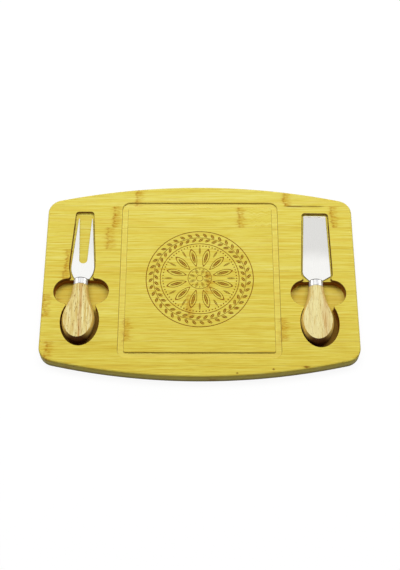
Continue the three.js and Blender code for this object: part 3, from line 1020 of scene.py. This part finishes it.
def fibres(g, grain, tone):
    """The bamboo's own colour, and how much of a streak, fine fibre and dark dash is anywhere."""
    streak = grain((0.018, 1, 1), 0.75, 3, 0.65)
    fine = grain((0.022, 1, 1), 1.9, 2, 0.6)
    level = g.math("MULTIPLY_ADD", grain((0.03, 1, 1), 0.17), 0.16, g.times(streak, 0.34))
    level = g.math("MULTIPLY_ADD", fine, 0.5, level)
    colour = g.ramp(g.math("MULTIPLY_ADD", tone, TONE_STEP, level), BAMBOO_TONES)
    warmth = g.fade(grain((0.012, 0.5, 0.5), 0.5), 0.5, 0.72, 0.0, 0.3)
    colour = g.mix(warmth, colour, WARM_STREAK)
    threads = g.fade(grain((0.02, 1, 1), 1.1, 1), 0.6, 0.7, 0.0, 0.4)
    colour = g.mix(threads, colour, DARK_THREAD)
    dashes = g.fade(grain((0.12, 2.2, 2.2), 1.0, 2, 0.6), 0.62, 0.74)
    return g.mix(g.times(dashes, 0.3), colour, DARK_DASH), streak, fine, dashes


def knots(g, grain, x, ragged, colour):
    """Short strokes along the fibres, each of its own length, round a darker line."""
    sway = g.math("MULTIPLY_ADD", grain((0.02, 0.16, 0.16), 1, 2), KNOT_SWAY, -KNOT_SWAY / 2)
    swing = g.math("ADD", sway, ragged)
    length = g.fade(grain((0.02, 1.1, 1.1), 1, 1), 0.3, 0.7, *KNOT_STROKES)
    wide, core = 0.0, 0.0
    for knot in g.parts(g.attribute("knots")):
        off = g.math("ADD", g.math("SUBTRACT", x, knot), swing)
        share = g.math("DIVIDE", g.math("ABSOLUTE", off), length)
        wide = g.math("MAXIMUM", wide, g.fade(share, 0.3, 1.0, 1.0, 0.0))
        off = g.math("ABSOLUTE", g.math("ADD", off, KNOT_CORE))
        core = g.math("MAXIMUM", core, g.fade(off, 0.4, 1.8, 1.0, 0.0))
    strokes = g.fade(grain((0.14, 1.6, 1.6), 1, 3, 0.7), 0.44, 0.58)
    colour = g.mix(g.times(wide, g.math("MULTIPLY_ADD", strokes, 0.6, 0.12)), colour, KNOT)
    return g.mix(g.times(core, g.math("MULTIPLY_ADD", strokes, 0.5, 0.1)), colour, KNOT_LINE)


def specks(g, x, y, ragged, colour):
    places = [g.parts(g.attribute(name)) for name in ("specks_x", "specks_y")]
    for speck_x, speck_y, narrowness in zip(*places, SPECK_NARROWNESS):
        away = g.math("MULTIPLY_ADD", g.apart(x, speck_x), narrowness, g.apart(y, speck_y))
        away = g.math("MULTIPLY_ADD", ragged, 0.5, away)
        colour = g.mix(g.fade(away, 0.4, 1.7, 0.9, 0.0), colour, SPECK)
    return colour


def joints(g, grain, x, y, colour):
    """Glue lines, where the strip's own sides come close, and the joint that stands open."""
    near, far, _ = g.parts(g.attribute("joints"))
    line = g.fade(g.math("MINIMUM", g.apart(y, near), g.apart(far, y)), 0.05, 0.5, 1.0, 0.0)
    broken = g.fade(grain((0.03, 0, 0), 1, 3), 0.35, 0.65, 0.08, 0.5)
    colour = g.mix(g.times(line, broken), colour, GLUE)
    start, end, _ = g.parts(g.attribute("open_joint"))
    opened = g.times(
        g.fade(x, start, g.math("ADD", start, OPEN_JOINT_TAPER)),
        g.fade(x, g.math("SUBTRACT", end, OPEN_JOINT_TAPER), end, 1.0, 0.0),
        g.fade(g.apart(y, OPEN_JOINT_Y), 0.2, 1.4, 0.85, 0.0),
        g.fade(grain((0.08, 0, 0), 1, 2), 0.3, 0.55, 0.3, 1.0),
    )
    return g.mix(opened, colour, OPEN_JOINT_SHADE)


def floor_light_and_shade(g, y, z, cut, colour):
    """Painted shade makes the deep floors browner and the bowls' floors darker. Painted light makes
    the groove's floor paler.
    """
    deep = g.fade(z, POCKET_FLOOR, GROOVE_FLOOR - 1, 0.2, 0.02)
    colour = g.mix(g.times(cut, deep), colour, DEEP_FLOOR_SHADE)
    pale = g.fade(z, GROOVE_FLOOR - 1, GROOVE_FLOOR, 0.0, 0.25)
    colour = g.mix(g.times(cut, pale), colour, GROOVE_FLOOR_LIGHT)
    low = g.fade(z, POCKET_FLOOR + 1, SLOT_FLOOR, 1.0, 0.0)
    bowl = g.times(cut, low, g.fade(y, *BOWL_SHADE_SPAN, 0.85, 0.0))
    return g.mix(bowl, colour, BOWL_FLOOR_SHADE)


def scorched_and_shaded_walls(g, x, y, z, up, cut, colour):
    """The walls and the rounds at their feet are painted dark brown, partly router scorch and partly
    painted shade, the groove's least. The slots' far ends are pale low down.
    """
    above_slot = g.math("GREATER_THAN", z, SLOT_FLOOR - 0.1)
    steep = g.times(g.fade(up, 0.6, 0.999, 1.0, 0.0), above_slot)
    steep = g.math("MAXIMUM", g.fade(up, 0.4, 0.95, 1.0, 0.0), steep)
    share = g.math("MAXIMUM", g.fade(z, SLOT_FLOOR, TOP, 0.98, 0.55), g.times(above_slot, 0.95))
    beside_groove = g.math("LESS_THAN", g.math("ABSOLUTE", x), GROOVE_REACH)
    share = g.times(share, g.math("MULTIPLY_ADD", beside_groove, -0.55, 1.0))
    low_wall = g.fade(z, SLOT_FLOOR + 0.9, SLOT_FLOOR + 1.7, 0.8, 0.0)
    spared = g.times(g.fade(y, *SLOT_END_PALE), low_wall)
    share = g.times(share, g.math("SUBTRACT", 1.0, spared))
    scorch_and_shade = g.mix(g.fade(z, SLOT_FLOOR - 3, SLOT_FLOOR), LOW_SCORCH_AND_SHADE, RIM_SCORCH_AND_SHADE)
    return g.mix(g.times(cut, steep, share), colour, scorch_and_shade)


def painted_foot_shade(g, z, up, cut, colour):
    """Painted shade: the board's own sides are painted darker towards the ground. The underside
    isn't.
    """
    foot_shade = g.times(
        g.fade(z, 0.5, 9.0, 0.93, 0.16),
        g.fade(up, 0.2, 0.9, 1.0, 0.0),
        g.fade(up, -0.98, -0.7),
        g.math("SUBTRACT", 1.0, cut),
    )
    return g.mix(foot_shade, colour, FOOT_SHADE)


def bamboo_material():
    material, g = new_material("bamboo")
    place = millimetres(g)
    x, y, z = g.parts(place)
    up = g.normal()[2]
    tone, seed, wave = g.parts(g.attribute("strip"))
    cut = g.attribute("cut", "Fac")
    grain = bamboo_grain(g, place, x, seed, wave)
    ragged = g.math("MULTIPLY_ADD", grain((0.3, 0.9, 0.9), 1, 2), 4, -2)
    colour, streak, fine, dashes = fibres(g, grain, tone)
    colour = knots(g, grain, x, ragged, colour)
    colour = specks(g, x, y, ragged, colour)
    colour = joints(g, grain, x, y, colour)
    colour = floor_light_and_shade(g, y, z, cut, colour)
    colour = scorched_and_shaded_walls(g, x, y, z, up, cut, colour)
    colour = painted_foot_shade(g, z, up, cut, colour)
    height = g.math("SUBTRACT", g.math("MULTIPLY_ADD", fine, 0.5, streak), dashes)
    principled(
        g,
        {
            "Base Color": colour,
            "Roughness": g.math("MULTIPLY_ADD", streak, 0.14, 0.44),
            "Specular IOR Level": BAMBOO_GLOSS,
            "Normal": g.bump(height, 0.04),
        },
    )
    return material


def burnt_material():
    material, g = new_material("burnt_engraving")
    place = millimetres(g)
    char = g.noise(g.vector("MULTIPLY", place, (0.25, 1, 1)), 1.2, 3, 0.6)
    principled(
        g,
        {
            "Base Color": g.ramp(char, BURNT_TONES),
            "Roughness": g.math("MULTIPLY_ADD", char, 0.2, 0.65),
            "Normal": g.bump(g.noise(place, 2.5, 2), 0.06),
        },
    )
    return material


def handle_material(name, seed, tint, pores, heart):
    """Wood with fine streaks along Y, pale on the flats and golden on the turned sides, which is
    painted shade and bounce light. The low sides and the end are painted dark, partly end grain and
    partly painted shade.

    The pores are dark dashes, more or less strong. The heart is one reddish streak: its place
    along X, its half-width and its strength.
    """
    material, g = new_material(name)
    place = millimetres(g)
    x, y, _ = g.parts(place)
    _, along, up = g.normal()
    grain = g.grain(place, (seed,) * 3)
    streak = grain((1, 0.04, 1), 1.3, 2, 0.6)
    level = g.math("MULTIPLY_ADD", grain((1, 0.025, 1), 0.4), 0.4, g.times(streak, 0.6))
    colour = g.ramp(level, [(0.32, WOOD_DARK), (0.43, tint), (0.58, WOOD_PALE)])
    colour = g.mix(g.fade(grain((1, 0.03, 1), 1.7), 0.56, 0.68, 0.0, 0.6), colour, WOOD_THREAD)

    heart_x, width, strength = heart
    sway = g.math("MULTIPLY_ADD", grain((0.2, 0.05, 0.2), 1, 2), 2 * width, -width)
    away = g.apart(g.math("ADD", x, sway), heart_x)
    red = g.fade(away, 0.2 * width, 1.2 * width, strength, 0.0)
    colour = g.mix(g.times(red, g.fade(streak, 0.3, 0.6, 1.0, 0.5)), colour, WOOD_HEART)
    dashes = g.fade(grain((2.0, 0.22, 2.0), 1), 0.6, 0.7)
    colour = g.mix(g.times(dashes, pores), colour, WOOD_PORE)

    # Painted shade and bounce light: the turned sides golden, the low sides and the end dark, the end
    # partly its own end grain
    turned_side_shade = g.fade(g.math("ABSOLUTE", up), 0.4, 0.95, 0.8, 0.0)
    colour = g.mix(turned_side_shade, colour, TURNED_SIDE_SHADE)
    low_side_shade = g.times(g.fade(up, 0.0, 0.4, 0.7, 0.0), g.fade(y, *HANDLE_SHADE, 1.0, 0.1))
    end_grain_and_shade = g.fade(along, -0.85, -0.25, 0.97, 0.0)
    colour = g.mix(g.math("MAXIMUM", low_side_shade, end_grain_and_shade), colour, END_GRAIN_AND_SHADE)
    principled(
        g,
        {
            "Base Color": colour,
            "Roughness": g.math("MULTIPLY_ADD", streak, 0.15, 0.42),
            "Specular IOR Level": WOOD_GLOSS,
            "Normal": g.bump(g.math("SUBTRACT", g.times(streak, 0.6), dashes), 0.05),
        },
    )
    return material


def blade_material(name, base, tip, ferrule_y):
    """Satin steel brushed along Y. Painted reflection turns its colour whiter near the ferrule and
    makes its ground bevels pale. Painted shade darkens its upright edges and a line beside the
    ferrule."""
    material, g = new_material(name)
    place = millimetres(g)
    y = g.parts(place)[1]
    _, ahead, up = g.normal()
    scratches = g.noise(g.vector("MULTIPLY", place, (1.5, 0.04, 1.5)), 1, 3, 0.6)
    run = g.math("MULTIPLY_ADD", g.noise(place, 0.06, 1), 12, y)
    # Painted reflection: the colour turns from the whiter base to the tip
    colour = g.mix(g.fade(run, *BLADE_REFLECTION_TURN), base, tip)
    # Painted shade: the upright edges and a line beside the ferrule are painted dark
    edge = g.fade(g.math("ABSOLUTE", up), 0.2, 0.9, 0.85, 0.0)
    line = g.fade(y, ferrule_y + 0.2, ferrule_y + 1.2, 0.7, 0.0)
    colour = g.mix(g.math("MAXIMUM", edge, line), colour, STEEL_PAINTED_SHADE)
    # Painted reflection: the ground bevels are painted pale and made less metallic
    ground = g.times(g.fade(ahead, 0.2, 0.3), g.fade(up, 0.85, 0.92))
    principled(
        g,
        {
            "Base Color": g.mix(ground, colour, BEVEL_PAINTED_REFLECTION),
            "Metallic": g.math("MULTIPLY_ADD", ground, -0.9, 1.0),
            "Roughness": g.fade(scratches, 0.3, 0.7, 0.26, 0.34),
            "Normal": g.bump(scratches, 0.006),
        },
    )
    return material


def ferrule_material(name, front_y):
    """Bright steel with soft bands along Y, a painted reflection, fine rings round it, and a line of
    painted shade at each end.
    """
    material, g = new_material(name)
    place = millimetres(g)
    x, y, _ = g.parts(place)
    rings = g.noise(g.vector("MULTIPLY", place, (0.2, 3, 0.2)), 1, 3, 0.6)
    across = g.add("ShaderNodeCombineXYZ", [(0, x)]).outputs[0]
    # Painted reflection: soft bands across X
    colour = g.mix(g.fade(g.noise(across, 0.45, 2), 0.35, 0.65), *FERRULE_REFLECTION_BANDS)
    # Painted shade: a dull line at the front end and another at the back end
    front = g.fade(y, front_y - 1.4, front_y - 0.7, 0.0, 0.95)
    front = g.times(front, g.fade(g.normal()[1], 0.9, 0.99, 1.0, 0.3))
    back_y = front_y - FERRULE_LENGTH
    back = g.fade(y, back_y + 0.3, back_y + 1.0, 0.6, 0.0)
    principled(
        g,
        {
            "Base Color": g.mix(g.math("MAXIMUM", front, back), colour, STEEL_PAINTED_SHADE),
            "Metallic": 0.38,
            "Roughness": g.fade(rings, 0.3, 0.7, 0.26, 0.36),
            "Normal": g.bump(rings, 0.006),
        },
    )
    return material


# Stage


def seen_rays(g):
    """1 for the rays that show the background: the camera's, and those in gloss and glass."""
    path = g.add("ShaderNodeLightPath").outputs
    seen = g.math("MAXIMUM", path["Is Camera Ray"], path["Is Glossy Ray"])
    return g.math("MAXIMUM", seen, path["Is Transmission Ray"])


def white_world():
    world = bpy.data.worlds.new("studio")
    bpy.context.scene.world = world
    world.use_nodes = True
    g = Graph(world.node_tree)
    strength = g.fade(seen_rays(g), 0, 1, AMBIENT, 1)
    background = g.add("ShaderNodeBackground", {"Color": (1, 1, 1, 1), "Strength": strength})
    g.add("ShaderNodeOutputWorld", {"Surface": background.outputs[0]})


def pale_floor():
    half = FLOOR_SIZE / 2
    corners = [(-half, -half, 0), (half, -half, 0), (half, half, 0), (-half, half, 0)]
    floor = new_object("floor", corners, [(0, 1, 2, 3)])
    floor.location.z = -FLOOR_DROP
    material, g = new_material("pale_floor")
    principled(
        g,
        {
            "Base Color": g.ramp(g.noise(millimetres(g), 0.4, 2), FLOOR_TONES),
            "Roughness": 0.9,
            "Emission Color": (1, 1, 1, 1),
            "Emission Strength": g.times(seen_rays(g), FLOOR_LIFT),
            "Specular IOR Level": 0.1,
        },
    )
    painted(floor, material)


def held(name, data, place, ahead):
    """A lamp or a camera at its place, looking ahead."""
    holder = bpy.data.objects.new(name, data)
    holder.location = place
    holder.rotation_mode = "QUATERNION"
    holder.rotation_quaternion = ahead.to_track_quat("-Z", "Y")
    bpy.context.scene.collection.objects.link(holder)
    return holder


def lamp(name, place, size, power):
    light = bpy.data.lights.new(name, "AREA")
    light.shape = "RECTANGLE"
    light.size, light.size_y = size
    light.energy = power
    return held(name, light, place, -Vector(place))


def camera():
    lens = bpy.data.cameras.new("camera")
    lens.sensor_fit = "VERTICAL"
    lens.sensor_height = SENSOR
    lens.lens = FOCAL_PIXELS / IMAGE_HEIGHT * SENSOR
    elevation = math.radians(CAMERA_ELEVATION)
    away = Vector((0, -math.cos(elevation), math.sin(elevation))) * CAMERA_DISTANCE * MM
    holder = held("camera", lens, Vector(LOOK_AT) * MM + away, -away)
    roll = Quaternion((0, 0, 1), math.radians(-CAMERA_ROLL))
    holder.rotation_quaternion = holder.rotation_quaternion @ roll
    bpy.context.scene.camera = holder


def main():
    board(bamboo_material(), burnt_material())
    for name, kind, plate, steel, wood in (
        ("fork", "fork", fork_blade, FORK_STEEL, FORK_WOOD),
        ("chisel_knife", "knife", chisel_blade, KNIFE_STEEL, KNIFE_WOOD),
    ):
        front_y = ferrule_front(PLACES[name])[1]
        blade_steel = blade_material(kind + "_steel", *steel, front_y)
        bright = ferrule_material(kind + "_ferrule_steel", front_y)
        tool(name, plate(), blade_steel, bright, handle_material(kind + "_handle_wood", **wood))
    white_world()
    pale_floor()
    lamps = {name: lamp(name, *facts) for name, facts in LAMPS.items()}
    # The flat steel would mirror the key lamp straight into the camera, so its gloss is left out.
    lamps["key"].visible_glossy = False
    camera()
    bpy.context.scene.view_settings.view_transform = "Standard"


main()
